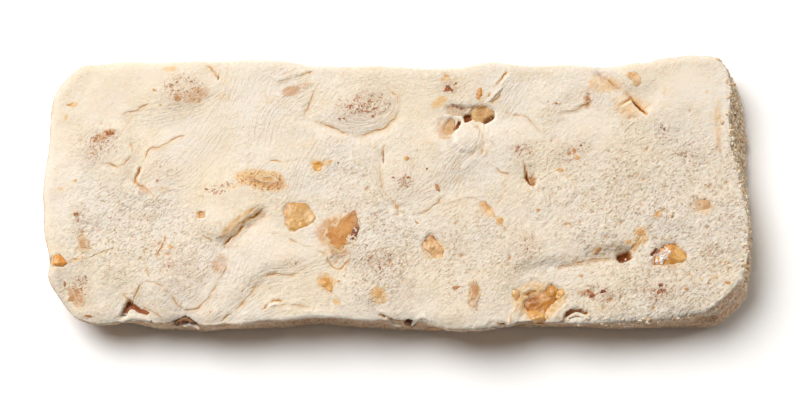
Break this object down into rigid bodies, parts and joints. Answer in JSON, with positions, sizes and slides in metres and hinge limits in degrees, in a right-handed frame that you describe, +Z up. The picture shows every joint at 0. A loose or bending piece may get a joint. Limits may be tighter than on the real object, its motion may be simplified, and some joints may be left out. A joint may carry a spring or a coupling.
{
  "type": "nougat bar",
  "caption": "Oblong bar of pulled, aerated nougat with roasted nut and amber brittle pieces set in it, lying flat on its underside.",
  "frame": {"origin": "middle of the bar's length and width, on the surface that it rests on", "axes": "+X along the bar, +Y across it to the back, +Z up, out of the top face"},
  "size_m": [0.1428, 0.057, 0.0127],
  "materials": {
    "nougat": "cream-white aerated nougat, matt with a soft, slightly translucent bloom",
    "brittle": "amber brittle, glossy and translucent",
    "nut": "roasted nut under a thin film of nougat, tan to red-brown"
  },
  "bodies": {
    "root": {"brittle_back": "brittle", "brittle_back_side": "brittle", "brittle_bead": "brittle", "brittle_beside_lip": "brittle", "brittle_front_lip": "brittle", "brittle_front_right": "brittle", "brittle_left_end": "brittle", "brittle_left_of_middle": "brittle", "brittle_middle": "brittle", "brittle_right_side": "brittle", "brittle_round": "brittle", "brittle_sliver": "brittle", "brittle_under_right": "brittle", "nougat": "nougat", "nut_back_right": "nut", "nut_back_side": "nut", "nut_cavity_front": "nut", "nut_front_edge": "nut", "nut_front_left": "nut", "nut_front_middle": "nut", "nut_front_tan": "nut", "nut_hole_front": "nut", "nut_left": "nut", "nut_left_side": "nut", "nut_slot_front": "nut", "nut_streak": "nut", "nut_tan_right": "nut", "nut_torn_beside": "nut", "nut_torn_front": "nut", "nut_torn_out": "nut", "nut_under_left": "nut"}
  },
  "joints": []
}
